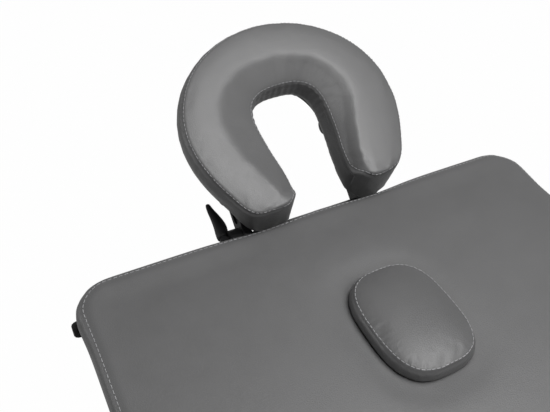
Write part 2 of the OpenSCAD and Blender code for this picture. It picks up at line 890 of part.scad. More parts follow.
// Cam lever: a fork round the bolt's eye, drawn out into a curved horn
horn = [
    [[0, 9, 0.4], [6.6, 6, 9.6]],
    [[1.4, 21, 0.8], [6.8, 5, 8.6]],
    [[6.2, 29, 2.4], [9, 5, 6.8]],
    [[7, 40, 5.6], [8.6, 5, 5.2]],
    [[3.4, 50, 11], [6, 4.6, 4.6]],
    [[0, 57, 18], [4, 3.8, 4]],
    [[-0.8, 59.5, 23], [2.8, 3, 3]]
];

module cam_lever() {
    difference() {
        union() {
            translate([0, 0, -10.5]) cylinder(r = 7, h = 21);
            translate([-6.6, 0, -9.6]) cube([13.2, 12, 19.2]);
            for (i = [0:len(horn) - 2]) hull() for (k = [i, i + 1])
                translate(horn[k][0]) scale(horn[k][1]) sphere(r = 1, $fn = 20);
        }
        // Slot for the bolt's eye
        translate([-8, -8, -4.6]) cube([16, 15.5, 9.2]);
        translate([0, 0, -12]) cylinder(r = 2.5 + run, h = 24);
    }
}

// U-shaped platform under the cushion, with two lugs on the upper axle
plate_in = 68;
plate_out = 126;
plate_v = 24;

module plate_outline() {
    arm_w = plate_out - plate_in;
    difference() {
        translate([0, band_v]) circle(plate_out);
        translate([0, band_v]) circle(plate_in);
        translate([-200, band_v - 200]) square([400, 200]);
    }
    for (s = [-1, 1]) translate([s * (plate_in + arm_w / 2), 0]) {
        translate([-arm_w / 2, plate_v + 10]) square([arm_w, band_v - plate_v - 10 + eps]);
        translate([-arm_w / 2 + 10, plate_v]) square([arm_w - 20, 12]);
        for (t = [-1, 1]) translate([t * (arm_w / 2 - 10), plate_v + 10]) circle(10);
    }
}

// Lugs of the platform, inside the arms
lug_in = 80;

module platform_solid() {
    top = -cushion_wall - plate_gap;
    on_slope() {
        difference() {
            union() {
                translate([0, 0, top - plate_t]) linear_extrude(plate_t) plate_outline();
                both_sides() across_x(lug_in, 90) {
                    translate([platform_v, platform_h]) circle(12);
                    translate([platform_v - 12, platform_h])
                        square([24, top - plate_t - platform_h + 1]);
                }
            }
            translate([0, platform_v, platform_h]) rod_x(4 + seat, -95, 95);
            // Pockets in the underside
            both_sides() for (v = [38, 58, 78])
                translate([76, v, top - plate_t - 1]) cube([42, 13, 6]);
        }
    }
}

// Sub-parts

module head_pad() { color(leather_grey) on_half() translate([0, 0, deck_z]) head_pad_form(); }
module foot_pad() { color(leather_grey) on_half(true) translate([0, 0, deck_z]) foot_pad_form(); }
module head_board() { color(plywood) board(false); }
module foot_board() { color(plywood) board(true); }
module head_side_rails() { color(alloy) on_half() both_sides() side_rail(); }
module foot_side_rails() { color(alloy) on_half(true) both_sides() side_rail(); }
module head_cross_rails() {
    color(alloy) on_half() {
        end_rail();
        cross_rail(centre_u);
    }
}
module foot_cross_rails() {
    color(alloy) on_half(true) {
        end_rail();
        cross_rail(centre_u);
    }
}
module head_corners() { color(moulded_black) corners(false); }
module foot_corners() { color(moulded_black) corners(true); }
module head_sockets() { color(moulded_black) on_half() both_sides() socket(); }
module foot_sockets() { color(moulded_black) on_half(true) both_sides() socket(); }
module head_bumpers() { color(rubber_black) bumpers(false); }
module foot_bumpers() { color(rubber_black) bumpers(true); }
module head_hinge_leaves() {
    color(steel) on_half() for (x = hinge_xs) {
        hinge_leaf(x, 1);
    }
}
module foot_hinge_leaves() {
    color(steel) on_half(true) for (x = hinge_xs) {
        hinge_leaf(x, 0);
        translate([0, 0, hinge_z]) rod_x(pin_r, x - leaf_w / 2, x + leaf_w / 2);
    }
}
module head_leg_mounts() { color(steel) leg_mounts(false); }
module foot_leg_mounts() { color(steel) leg_mounts(true); }
module head_brace_mounts() { color(steel) brace_mounts(false); }
module foot_brace_mounts() { color(steel) brace_mounts(true); }
module latch_pivots() {
    color(steel) on_half() for (u = latch_us) translate([rail_x, u, latch_z]) latch_pivot();
}
module latch_studs() {
    color(steel) on_half(true) for (u = latch_us) translate([rail_x, u, latch_z]) latch_stud();
}
module head_handle_clips() { color(moulded_black) handle_clips(false); }
module foot_handle_clips() { color(moulded_black) handle_clips(true); }
module head_upper_legs() { color(alloy) upper_legs(false); }
module foot_upper_legs() { color(alloy) upper_legs(true); }
module head_crossbar() { color(alloy) crossbar(false); }
module foot_crossbar() { color(alloy) crossbar(true); }
module head_collars() { color(moulded_black) collars(false); }
module foot_collars() { color(moulded_black) collars(true); }
module lower_leg_node(foot, side) { color(alloy) leg_part(foot, side) lower_leg(); }
module tip_node(foot, side) { color(rubber_black) leg_part(foot, side) tip(); }
module knob_node(foot, side) {
    color(moulded_black) leg_part(foot, side) translate([0, 0, -knob_at]) knob();
}
module head_brace_upper() { color(steel) brace_upper(false); }
module head_brace_lower() { color(steel) brace_lower(false); }
module foot_brace_upper() { color(steel) brace_upper(true); }
module foot_brace_lower() { color(steel) brace_lower(true); }
module head_handle() { color(moulded_black) handle(false); }
module foot_handle() { color(moulded_black) handle(true); }
module head_latch() { color(steel) latch(latch_us[0]); }
module centre_latch() { color(steel) latch(latch_us[1]); }
module face_plug() {
    color(cradle_grey) on_half() translate([0, half_len - hole_from_edge, top_z]) plug_form();
}
module cradle_posts() { color(alloy) both_sides() translate([post_gap / 2, 0, 0]) cradle_post(); }
module cradle_base() {
    color(moulded_black) on_head_edge() {
        both_sides() base_side();
        cradle_bar();
    }
}
module lower_bolt() {
    color(steel) on_head_edge(base_axle.x, base_axle.y) {
        translate([-lever_x, 0, 0]) cam_eye();
        rod_x(4, -lever_x, 129.8);
        bolt_nut(120.8);
    }
}
module lower_lever() {
    color(moulded_black) on_head_edge(base_axle.x, base_axle.y) translate([-lever_x, 0, 0])
        cam_lever();
}
module cradle_arms() {
    color(moulded_black) on_head_edge() {
        both_sides() arm_side();
        arm_tube();
    }
}
module upper_bolt() {
    // A short clamp bolt on one side and a plain pivot on the other: nothing crosses the opening
    color(steel) on_head_edge(platform_axle.x, platform_axle.y) rotate([cushion_tilt, 0, 0]) {
        translate([upper_lever_x, 0, 0]) cam_eye();
        rod_x(4, lug_in - 1.2, upper_lever_x - 7.5);
        rod_x(3.5, upper_lever_x - 8.5, upper_lever_x);
        rod_x(4, -arm_out - 9, -lug_in + 1.2);
        translate([-arm_out - 0.2, 0, 0]) rotate([0, 180, 0]) bolt_nut(0);
        for (x = [lug_in - 2.4, -lug_in + 0.2]) rod_x(6.5, x, x + 2.2);
    }
}
module upper_lever() {
    color(moulded_black) on_head_edge(platform_axle.x, platform_axle.y)
        rotate([cushion_tilt, 0, 0]) rotate([0, 180, 0]) translate([-upper_lever_x, 0, 0])
            cam_lever();
}
module platform() { color(moulded_black) platform_solid(); }
module head_cushion() {
    color(cradle_grey) on_slope() translate([cushion_turn * 1.6, band_v, 0])
        rotate([0, 0, cushion_turn]) translate([0, -band_v, 0]) cushion_form();
}

head_pad();
head_board();
head_side_rails();
head_cross_rails();
head_corners();
head_sockets();
head_bumpers();
head_hinge_leaves();
head_leg_mounts();
head_brace_mounts();
latch_pivots();
head_handle_clips();
foot_pad();
foot_board();
foot_side_rails();
foot_cross_rails();
foot_corners();
foot_sockets();
foot_bumpers();
foot_hinge_leaves();
foot_leg_mounts();
foot_brace_mounts();
latch_studs();
foot_handle_clips();
head_upper_legs();
head_crossbar();
head_collars();
foot_upper_legs();
foot_crossbar();
foot_collars();
lower_leg_node(false, -1);  // head_lower_leg_left
lower_leg_node(false, 1);  // head_lower_leg_right
lower_leg_node(true, -1);  // foot_lower_leg_left
lower_leg_node(true, 1);  // foot_lower_leg_right
tip_node(false, -1);  // head_tip_left
tip_node(false, 1);  // head_tip_right
tip_node(true, -1);  // foot_tip_left
tip_node(true, 1);  // foot_tip_right
knob_node(false, -1);  // head_knob_left
knob_node(false, 1);  // head_knob_right
knob_node(true, -1);  // foot_knob_left
knob_node(true, 1);  // foot_knob_right
head_brace_upper();
head_brace_lower();
foot_brace_upper();
foot_brace_lower();
head_handle();
foot_handle();
head_latch();
centre_latch();
face_plug();
cradle_posts();
cradle_base();
lower_bolt();
lower_lever();
cradle_arms();
upper_bolt();
upper_lever();
platform();
head_cushion();
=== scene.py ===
# %% [markdown]
# A folding massage table, seen from above its left side towards the head end. The rigid frame,
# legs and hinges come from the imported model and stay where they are. This file dresses them: it
# gives every part a finish, and it makes the padded parts again as filled, sewn covers.

# %% Load the frame
import json
import math

import bmesh
import bpy
import numpy as np
from mathutils import Matrix, Vector
from mathutils.bvhtree import BVHTree
from mathutils.kdtree import KDTree


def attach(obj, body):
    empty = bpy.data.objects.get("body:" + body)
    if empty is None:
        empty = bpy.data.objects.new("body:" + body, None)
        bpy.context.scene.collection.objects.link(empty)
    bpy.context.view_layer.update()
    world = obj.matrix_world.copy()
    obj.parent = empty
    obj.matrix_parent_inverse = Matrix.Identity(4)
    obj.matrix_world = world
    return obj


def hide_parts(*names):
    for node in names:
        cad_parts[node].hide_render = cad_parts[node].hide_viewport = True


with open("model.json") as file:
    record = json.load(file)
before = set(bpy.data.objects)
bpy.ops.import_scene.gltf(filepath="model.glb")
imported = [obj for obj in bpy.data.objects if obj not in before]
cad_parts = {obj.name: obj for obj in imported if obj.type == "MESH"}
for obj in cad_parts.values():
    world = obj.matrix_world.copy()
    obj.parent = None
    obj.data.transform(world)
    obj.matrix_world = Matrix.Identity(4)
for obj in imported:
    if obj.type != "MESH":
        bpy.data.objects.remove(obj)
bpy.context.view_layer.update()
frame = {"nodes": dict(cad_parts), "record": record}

# %% [markdown]
# The main lines of the table, in metres. The floor is Z = 0, +Y points to the head end and +X to
# the side with the carrying handles. The plug and its hole are ovals with a power above 2, which
# makes them squarer than an ellipse. Their half sizes are across and along the table.

# %% Main lines
MM = 0.001
HEAD_EDGE = 0.810
FOLD_LINE = -0.120
TOP = 0.640
DECK = 0.590
HALF_WIDTH = 0.350
PAD_LENGTH = 0.930
PLUG_HALF = (0.061, 0.0775)
HOLE_HALF = (0.0625, 0.079)
OVAL_POWER = 2.93
PLUG_MIDDLE = Vector((0, HEAD_EDGE - 0.214, TOP))
print("head edge", HEAD_EDGE, "top", TOP)

# %% [markdown]
# The camera stands just outside the table's left side, 0.6 m above the top, and looks across the
# head cushion. Its place was worked out from the straight edges of the top, so it is written as
# a position and three axes rather than as angles.

# %% Camera
lens = bpy.data.cameras.new("camera")
lens.sensor_width = 36
lens.lens = 40.10
camera = bpy.data.objects.new("camera", lens)
bpy.context.scene.collection.objects.link(camera)
to_right = Vector((0.88320056, -0.46284914, 0.07567981))
upwards = Vector((0.27748675, 0.64579869, 0.71129822))
backwards = Vector((-0.3780977, -0.60721885, 0.69880427))
turn = Matrix((to_right, upwards, backwards)).transposed().to_4x4()
camera.matrix_world = Matrix.Translation((-0.3793, 0.3160, 1.2372)) @ turn
bpy.context.scene.camera = camera
bpy.context.scene.view_settings.view_transform = "Standard"
print("camera", tuple(round(c, 3) for c in camera.location))

# %% [markdown]
# Finishes are small sums of patterns. Writing them as Python expressions is easier to read than
# a long list of nodes, so a small class wraps one output socket and turns arithmetic into Math
# nodes. Everything else comes from one method that takes a node's type, settings and inputs.


# %% A socket that does arithmetic
class Signal:
    """One output of a node. Arithmetic on it adds Math nodes to the same tree."""

    def __init__(self, tree, out):
        self.tree = tree
        self.out = out

    def math(self, operation, *values):
        node = self.tree.nodes.new("ShaderNodeMath")
        node.operation = operation
        for socket, value in zip(node.inputs, values):
            feed(self.tree, socket, value)
        return Signal(self.tree, node.outputs[0])

    def __add__(self, other):
        return self.math("ADD", self, other)

    def __sub__(self, other):
        return self.math("SUBTRACT", self, other)

    def __rsub__(self, other):
        return self.math("SUBTRACT", other, self)

    def __mul__(self, other):
        return self.math("MULTIPLY", self, other)

    __radd__ = __add__
    __rmul__ = __mul__

    def clamp(self):
        return self.math("MINIMUM", self.math("MAXIMUM", self, 0.0), 1.0)


def feed(tree, socket, value):
    """Link a signal to a socket, or set the socket to a plain value."""
    if isinstance(value, Signal):
        tree.links.new(value.out, socket)
    else:
        socket.default_value = value


# %% A finish: one Principled shader and what feeds it
class Finish:
    """A material that is being built."""

    def __init__(self, name):
        self.material = bpy.data.materials.new(name)
        self.material.use_nodes = True
        self.tree = self.material.node_tree
        self.tree.nodes.clear()

    def node(self, kind, settings=None, inputs=None, out=0):
        """Add a node: its settings come first, then its inputs. Returns one output."""
        node = self.tree.nodes.new("ShaderNode" + kind)
        for key, value in (settings or {}).items():
            setattr(node, key, value)
        for key, value in (inputs or {}).items():
            feed(self.tree, node.inputs[key], value)
        return Signal(self.tree, node.outputs[out])

    def place(self):
        """Object coordinates, which stay with a part when it moves."""
        return self.node("TexCoord", out="Object")

    def noise(self, where, scale, detail, rough=0.5):
        inputs = {"Vector": where, "Scale": scale, "Detail": detail, "Roughness": rough}
        return self.node("TexNoise", None, inputs)

    def tint(self, colour, amount, factor):
        """The colour, made darker and lighter by the factor around one half."""
        low = [c * (1 - amount) for c in colour] + [1]
        high = [c * (1 + amount) for c in colour] + [1]
        node = self.tree.nodes.new("ShaderNodeMix")
        node.data_type = "RGBA"
        # A Mix node's colour sockets share their names with others, so they go by number.
        feed(self.tree, node.inputs[0], factor)
        node.inputs[6].default_value = low
        node.inputs[7].default_value = high
        return Signal(self.tree, node.outputs[2])

    def bump(self, height, depth, strength):
        """Height between 0 and 1, as deep as 'depth' in metres."""
        inputs = {"Height": height, "Distance": depth, "Strength": strength}
        return self.node("Bump", None, inputs)

    def surface(self, **inputs):
        """Feed the Principled shader. An underscore in a name stands for a space."""
        named = {key.replace("_", " "): value for key, value in inputs.items()}
        shader = self.node("BsdfPrincipled", None, named)
        output = self.tree.nodes.new("ShaderNodeOutputMaterial")
        self.tree.links.new(shader.out, output.inputs["Surface"])
        return self.material


# %% [markdown]
# The covers are polyurethane leather: a knitted cloth with a soft, embossed skin. Close up it has
# round pebbles about a millimetre across, some of them run together into short creases. From a
# metre away only a soft sheen and a faint unevenness of tone are left. So the bump is two layers
# of cells and a slower noise, and the colour moves by a few per cent. All three covers are one
# leather: the plug's colour is a little darker as painted shade, and the head cushion's a little
# lighter as painted light, so that each renders as bright as it looks under the lamps.


# %% Polyurethane leather
def leather(name, colour, rough):
    f = Finish(name)
    place = f.place()
    drift = f.noise(place, 3.2, 3.0, 0.6)
    fold = f.noise(place, 38.0, 3.0, 0.55)
    cells = {"Vector": place, "Scale": 820.0, "Randomness": 0.95}
    pebble = f.node("TexVoronoi", {"feature": "DISTANCE_TO_EDGE"}, cells)
    large = {"Vector": place, "Scale": 330.0, "Randomness": 1.0}
    crease = f.node("TexVoronoi", {"feature": "DISTANCE_TO_EDGE"}, large)
    skin = (pebble * 3.2).clamp() * 0.45 + (crease * 4.5).clamp() * 0.25 + fold * 0.5
    worn = (drift * 0.7 + fold * 0.3 - 0.5) * 1.6 + 0.5
    return f.surface(
        Base_Color=f.tint(colour, 0.09, worn.clamp()),
        Roughness=(fold - 0.5) * 0.16 + drift * 0.06 + (rough - 0.03),
        Normal=f.bump(skin, 0.00028, 0.6),
        Coat_Weight=0.10,
        Coat_Roughness=0.35,
    )


# One leather in three colours: the plug's is darker as painted shade, the head cushion's lighter
# as painted light.
top_leather = leather("top_leather", (0.121, 0.121, 0.122), 0.41)
plug_leather = leather("plug_leather", (0.108, 0.108, 0.109), 0.38)
cradle_leather = leather("cradle_leather", (0.134, 0.134, 0.135), 0.38)
print("leather:", top_leather.name, plug_leather.name, cradle_leather.name)

# %% [markdown]
# Sewing thread is a twisted yarn. A wave across the short stitch is enough for the twist, and a
# little noise keeps the stitches from looking like beads.


# %% Thread
def thread(name, colour):
    f = Finish(name)
    place = f.place()
    twist = f.node("TexWave", {"bands_direction": "DIAGONAL"}, {"Vector": place, "Scale": 900.0})
    fuzz = f.noise(place, 1500.0, 2.0)
    return f.surface(
        Base_Color=f.tint(colour, 0.2, fuzz),
        Roughness=fuzz * 0.2 + 0.6,
        Normal=f.bump(twist * 0.7 + fuzz * 0.3, 0.0002, 0.8),
    )


grey_thread = thread("grey_thread", (0.44, 0.44, 0.45))
print("thread:", grey_thread.name)

# %% [markdown]
# The rails and leg tubes are extruded aluminium with a satin anodised skin. Die lines run along
# each profile. A noise that is stretched along the extrusion gives them, in the roughness and in
# a very shallow bump. Bolts and fittings are zinc-plated or blackened steel, with an even grain.


# %% Metals
def metal(name, colour, rough, stretch, depth):
    f = Finish(name)
    place = f.place()
    lined = f.node("Mapping", None, {"Vector": place, "Scale": stretch})
    lines = f.noise(lined, 1.0, 3.0, 0.6)
    cloud = f.noise(place, 9.0, 3.0, 0.6)
    return f.surface(
        Base_Color=f.tint(colour, 0.07, cloud),
        Metallic=1.0,
        Roughness=lines * 0.14 + cloud * 0.08 + (rough - 0.1),
        Normal=f.bump(lines, depth, 0.5),
    )


rail_alloy = metal("rail_alloy", (0.66, 0.67, 0.68), 0.34, (900, 6, 900), 0.00008)
cross_alloy = metal("cross_alloy", (0.66, 0.67, 0.68), 0.34, (6, 900, 900), 0.00008)
tube_alloy = metal("tube_alloy", (0.68, 0.69, 0.70), 0.28, (900, 900, 6), 0.00006)
zinc_steel = metal("zinc_steel", (0.58, 0.58, 0.57), 0.32, (260, 260, 260), 0.00005)
black_steel = metal("black_steel", (0.060, 0.060, 0.062), 0.36, (260, 260, 260), 0.00005)
print("metals:", rail_alloy.name, cross_alloy.name, tube_alloy.name, zinc_steel.name,
      black_steel.name)

# %% [markdown]
# Moulded nylon parts come out of a spark-eroded mould with a fine even texture, and rubber is
# duller and picks up dust. Both are nearly black, so the difference is in roughness and bump.


# %% Moulded nylon and rubber
def moulded(name, colour, rough, scale, depth):
    f = Finish(name)
    place = f.place()
    spark = f.noise(place, scale, 3.0, 0.65)
    scuff = f.noise(place, 26.0, 4.0, 0.6)
    return f.surface(
        Base_Color=f.tint(colour, 0.22, scuff),
        Roughness=scuff * 0.18 + (rough - 0.09),
        Specular_IOR_Level=0.3,
        Normal=f.bump(spark, depth, 0.6),
    )


black_nylon = moulded("black_nylon", (0.028, 0.028, 0.029), 0.46, 1500.0, 0.00012)
black_rubber = moulded("black_rubber", (0.026, 0.026, 0.026), 0.78, 700.0, 0.00018)
print("moulded:", black_nylon.name, black_rubber.name)

# %% [markdown]
# The decks are thin birch plywood. The face veneer has long soft figure along the table, and the
# cut edge shows its layers as bands in Z.


# %% Plywood
def plywood(name):
    f = Finish(name)
    place = f.place()
    along = f.node("Mapping", None, {"Vector": place, "Scale": (26, 1.6, 26)})
    figure = f.noise(along, 1.0, 5.0, 0.6)
    pores = f.noise(f.node("Mapping", None, {"Vector": place, "Scale": (900, 40, 900)}), 1.0, 2.0)
    bands = {"Vector": place, "Scale": 110.0, "Distortion": 0.4}
    plies = f.node("TexWave", {"bands_direction": "Z"}, bands)
    shade = (figure * 0.7 + pores * 0.15 + plies * 0.15 - 0.5) * 1.8 + 0.5
    return f.surface(
        Base_Color=f.tint((0.56, 0.41, 0.25), 0.24, shade.clamp()),
        Roughness=figure * 0.15 + 0.42,
        Normal=f.bump(pores * 0.6 + figure * 0.4, 0.00012, 0.6),
    )


birch = plywood("birch_plywood")
print("deck:", birch.name)

# %% [markdown]
# Every part of the frame takes its finish from its material slot in the record. Side rails and
# posts have their die lines along Y and crosspieces along X, and the cradle's cam bolts are black.

# %% Finishes of the frame
along_y = {"head_side_rails", "foot_side_rails", "cradle_posts"}
along_x = {"head_cross_rails", "foot_cross_rails", "head_crossbar", "foot_crossbar"}
cam_bolts = {"lower_bolt", "upper_bolt"}
by_slot = {
    "pad_leather": top_leather, "cradle_leather": cradle_leather, "plywood": birch,
    "alloy": tube_alloy, "zinc_steel": zinc_steel, "moulded_plastic": black_nylon,
    "black_rubber": black_rubber,
}
for part in frame["record"]["subparts"]:
    name = part["node"]
    finish = by_slot[part["material_slot"]]
    if name in along_y:
        finish = rail_alloy
    if name in along_x:
        finish = cross_alloy
    if name in cam_bolts:
        finish = black_steel
    mesh = frame["nodes"][name].data
    mesh.materials.clear()
    mesh.materials.append(finish)

# %% [markdown]
# The padded parts start as copies of the model's own soft forms. Such a copy is loose triangles,
# so its doubles are merged first. Remeshing then gives it even quads, which a cloth needs. Last,
# air pressure fills it like a stuffed cover, while the face that rests on its base stays put and
# no point may move further than a cap.


# %% Copy, remesh and bake
def copy_of(node, name):
    """A new object with the form of a node, its doubled points merged."""
    mesh = frame["nodes"][node].data.copy()
    shape = bmesh.new()
    shape.from_mesh(mesh)
    bmesh.ops.remove_doubles(shape, verts=shape.verts, dist=1e-6)
    shape.to_mesh(mesh)
    shape.free()
    piece = bpy.data.objects.new(name, mesh)
    bpy.context.scene.collection.objects.link(piece)
    return piece


def bake(piece):
    """Keep what the modifiers make, and drop the modifiers."""
    graph = bpy.context.evaluated_depsgraph_get()
    mesh = bpy.data.meshes.new_from_object(piece.evaluated_get(graph))
    piece.modifiers.clear()
    piece.data = mesh


def remesh(piece, size):
    """Even quads, this wide in metres."""
    grid = piece.modifiers.new("even quads", "REMESH")
    grid.mode = "VOXEL"
    grid.voxel_size = size
    bake(piece)


def hug(piece, node):
    """Move every point to the nearest place on the model's own form."""
    form = BVHTree.FromObject(frame["nodes"][node], bpy.context.evaluated_depsgraph_get())
    spots = [form.find_nearest(Vector(p))[0] for p in points_of(piece.data)]
    place_points(piece.data, np.array(spots))


def finer(piece):
    """Cut each face in four, and keep the result."""
    smooth = piece.modifiers.new("finer", "SUBSURF")
    smooth.levels = smooth.render_levels = 1
    bake(piece)


def points_of(mesh):
    values = np.empty(len(mesh.vertices) * 3, np.float32)
    mesh.vertices.foreach_get("co", values)
    return values.reshape(-1, 3).astype(float)


def normals_of(mesh):
    values = np.empty(len(mesh.vertices) * 3, np.float32)
    mesh.vertices.foreach_get("normal", values)
    return values.reshape(-1, 3).astype(float)


def place_points(mesh, points):
    mesh.vertices.foreach_set("co", points.astype(np.float32).ravel())
    mesh.update()


# %% Fill a cover with air
def puff(piece, held, inset, cap):
    """Shrink the form a little, fill it, and stop each point 'cap' metres from its start."""
    frames = 20
    scene = bpy.context.scene
    mesh = piece.data
    rest = points_of(mesh)
    fixed = held(rest)
    start = rest - normals_of(mesh) * (inset * ~fixed)[:, None]
    place_points(mesh, start)
    group = piece.vertex_groups.new(name="held")
    group.add([int(i) for i in np.flatnonzero(fixed)], 1.0, "REPLACE")
    air = piece.modifiers.new("air", "CLOTH")
    cover = air.settings
    cover.quality = 5
    cover.mass = 0.3
    cover.tension_stiffness = cover.compression_stiffness = 20
    cover.shear_stiffness = 12
    cover.bending_stiffness = 1.0
    cover.use_pressure = True
    cover.uniform_pressure_force = 4.0
    cover.vertex_group_mass = "held"
    cover.effector_weights.gravity = 0
    air.collision_settings.use_collision = False
    air.point_cache.frame_start = 1
    air.point_cache.frame_end = frames
    for number in range(1, frames + 1):
        scene.frame_set(number)
    graph = bpy.context.evaluated_depsgraph_get()
    end = points_of(piece.evaluated_get(graph).data)
    move = end - start
    length = np.linalg.norm(move, axis=1)
    move *= np.minimum(1, cap / np.maximum(length, 1e-9))[:, None]
    piece.modifiers.clear()
    piece.vertex_groups.clear()
    place_points(mesh, start + move)
    scene.frame_set(1)
    print(piece.name, "moved up to", round(float(min(length.max(), cap)) * 1000, 1), "mm")


# %% [markdown]
# A seam shows as a shallow valley with the cover pulled towards it, and as a row of stitches
# beside it. The valley is pressed into the filled cover along a line of points. The stitches are
# short rods that lie on the surface, each laid along the line.


# %% Press a seam into a cover
def nearest(points, line):
    """Distance from each point to the line, and how far along it that is."""
    tree = KDTree(len(line))
    for i, p in enumerate(line):
        tree.insert(p, i)
    tree.balance()
    found = [tree.find(p) for p in points]
    steps = np.linalg.norm(np.diff(np.array(line), axis=0), axis=1)
    along = np.concatenate([[0], np.cumsum(steps)])
    return np.array([f[2] for f in found]), along[[f[1] for f in found]]


def press_seam(piece, line, depth, width):
    """Press a valley in along a line. Returns each point's distance to it and place along it."""
    mesh = piece.data
    points = points_of(mesh)
    away, along = nearest(points, line)
    valley = depth * np.exp(-((away / width) ** 2))
    place_points(mesh, points - normals_of(mesh) * valley[:, None])
    return away, along


def dish(piece, line, depth, width):
    """Lower the top face near a line, and leave the upright walls where they are."""
    mesh = piece.data
    points = points_of(mesh)
    away, _ = nearest(points, line)
    upward = np.clip(normals_of(mesh)[:, 2], 0, 1) ** 2
    points[:, 2] -= depth * np.exp(-((away / width) ** 2)) * upward
    place_points(mesh, points)


# %% Lay a row of stitches
def stitches(name, target, line, pitch, long):
    """Rods of this length and pitch along a line, sunk a little into the cover."""
    radius, lift, sink = 0.45 * MM, 0.15 * MM, 0.225 * MM
    graph = bpy.context.evaluated_depsgraph_get()
    cover = BVHTree.FromObject(target, graph)
    line = [Vector(p) for p in line]
    shape = bmesh.new()
    left = pitch / 2
    for a, b in zip(line, line[1:]):
        length = (b - a).length
        while left < length:
            spot, normal, _, _ = cover.find_nearest(a.lerp(b, left / length))
            run = (b - a).normalized()
            side = normal.cross(run).normalized()
            run = side.cross(normal).normalized()
            axes = Matrix((side, normal, run)).transposed().to_4x4()
            place = Matrix.Translation(spot + normal * lift) @ axes
            rod = bmesh.ops.create_cone(
                shape, cap_ends=True, segments=6, radius1=radius, radius2=radius, depth=long,
                matrix=place,
            )
            for v in rod["verts"]:
                v.co -= normal * sink
            left += pitch
        left -= length
    mesh = bpy.data.meshes.new(name)
    shape.to_mesh(mesh)
    shape.free()
    piece = bpy.data.objects.new(name, mesh)
    bpy.context.scene.collection.objects.link(piece)
    piece.data.materials.append(grey_thread)
    return piece


# %% Give a finished cover its leather and its body
def dress(piece, finish, node, body):
    """Replace a node by this piece, which rides on the node's body."""
    piece.data.materials.clear()
    piece.data.materials.append(finish)
    for face in piece.data.polygons:
        face.use_smooth = True
    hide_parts(node)
    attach(piece, body)
    print(piece.name, "faces", len(piece.data.polygons))


# %% [markdown]
# The two halves of the top are flat foam, wrapped in one sheet that is pulled over the edges and
# stapled under the deck. The foam is firm, so the cover only crowns by a few millimetres, and it
# is stretched most at the corners. A row of topstitches runs round the upper edge.


# %% The line round the top of a half
def rounded_line(u0, u1, near_r, far_r, inset, z, flip):
    """A closed line inside the pad's outline. u runs from the fold line to the outer end."""
    half = HALF_WIDTH
    corners = [
        (-half + near_r, u0 + near_r, near_r, 180), (half - near_r, u0 + near_r, near_r, 270),
        (half - far_r, u1 - far_r, far_r, 0), (-half + far_r, u1 - far_r, far_r, 90),
    ]
    line = []
    parts = 12
    for x, u, r, first in corners:
        for i in range(parts + 1):
            a = math.radians(first + 90 * i / parts)
            line.append((x + (r - inset) * math.cos(a), u + (r - inset) * math.sin(a)))
    line.append(line[0])
    full = []
    spacing = 0.004
    for (xa, ua), (xb, ub) in zip(line, line[1:]):
        count = max(1, int(math.hypot(xb - xa, ub - ua) / spacing))
        for i in range(count):
            t = i / count
            u = ua + (ub - ua) * t
            full.append((xa + (xb - xa) * t, FOLD_LINE + (-u if flip else u), z))
    return full


def oval(inset, z):
    """A closed line round the plug, this far inside its outline and at this height over it."""
    line = []
    steps = 240
    for i in range(steps + 1):
        a = 2 * math.pi * i / steps
        c, s = math.cos(a), math.sin(a)
        r = (abs(c) ** OVAL_POWER + abs(s) ** OVAL_POWER) ** (1 / OVAL_POWER)
        spot = Vector(((PLUG_HALF[0] - inset) * c / r, (PLUG_HALF[1] - inset) * s / r, z))
        line.append(tuple(PLUG_MIDDLE + spot))
    return line


def reach(points, half):
    """How far out points lie from the plug's middle: 1 on the oval with these half sizes."""
    x = np.abs(points[:, 0]) / half[0]
    y = np.abs(points[:, 1] - PLUG_MIDDLE.y) / half[1]
    return (x ** OVAL_POWER + y ** OVAL_POWER) ** (1 / OVAL_POWER)


def stand_out(piece, flip, amount):
    """Push the outer end and its corners out, except where the head cushion leans on it."""
    mesh = piece.data
    points = points_of(mesh)
    x, z = np.abs(points[:, 0]), points[:, 2]
    u = (FOLD_LINE - points[:, 1]) if flip else (points[:, 1] - FOLD_LINE)
    inside = np.minimum(PAD_LENGTH - u, HALF_WIDTH - x)
    outer_end = np.clip((u - 0.84) / 0.07, 0, 1)
    near_edge = np.clip(1 - inside / 0.045, 0, 1)
    above_deck = np.clip((z - DECK - 0.004) / 0.022, 0, 1)
    on_the_wall = np.clip((TOP - 0.005 - z) / 0.009, 0, 1)
    by_an_arm = np.exp(-(((x - 0.088) / 0.055) ** 2))
    share = outer_end * near_edge * above_deck * (1 - (0.55 + 0.42 * on_the_wall) * by_an_arm)
    place_points(mesh, points + normals_of(mesh) * (amount * share)[:, None])


# %% The head and foot pads
def on_deck(points):
    """True for the points that stay put: the wrapped lip and the breath hole's wall and rim."""
    return (points[:, 2] < DECK + 0.010) | (reach(points, HOLE_HALF) < 1)


for end, flip in (("head", False), ("foot", True)):
    pad = copy_of(end + "_pad", end + "_top_cover")
    remesh(pad, size=0.008)
    hug(pad, end + "_pad")
    puff(pad, on_deck, inset=0.0015, cap=0.003)
    stand_out(pad, flip, amount=0.0065)
    finer(pad)
    edge = rounded_line(0.001, PAD_LENGTH, near_r=0.018, far_r=0.045, inset=0.0085,
                        z=TOP - 0.002, flip=flip)
    press_seam(pad, edge, depth=0.0009, width=0.0035)
    if end == "head":
        dish(pad, oval(inset=-0.004, z=0), depth=0.0034, width=0.022)
    dress(pad, top_leather, end + "_pad", end + "_half")
    row = stitches(end + "_top_stitches", pad, edge, pitch=7 * MM, long=4.6 * MM)
    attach(row, end + "_half")

# %% [markdown]
# The plug of the breath hole is a small firm cushion: a crowned top panel sewn to a boxed wall
# just below its edge. The wall stands on the top, so its skirt is widened and lowered until it
# sits in the sunk rim round the hole. Small puckers run off the seam onto the panel.


# %% The plug
def in_hole(points):
    """True for the plug's neck and underside, which stay put."""
    return points[:, 2] < TOP + 0.007


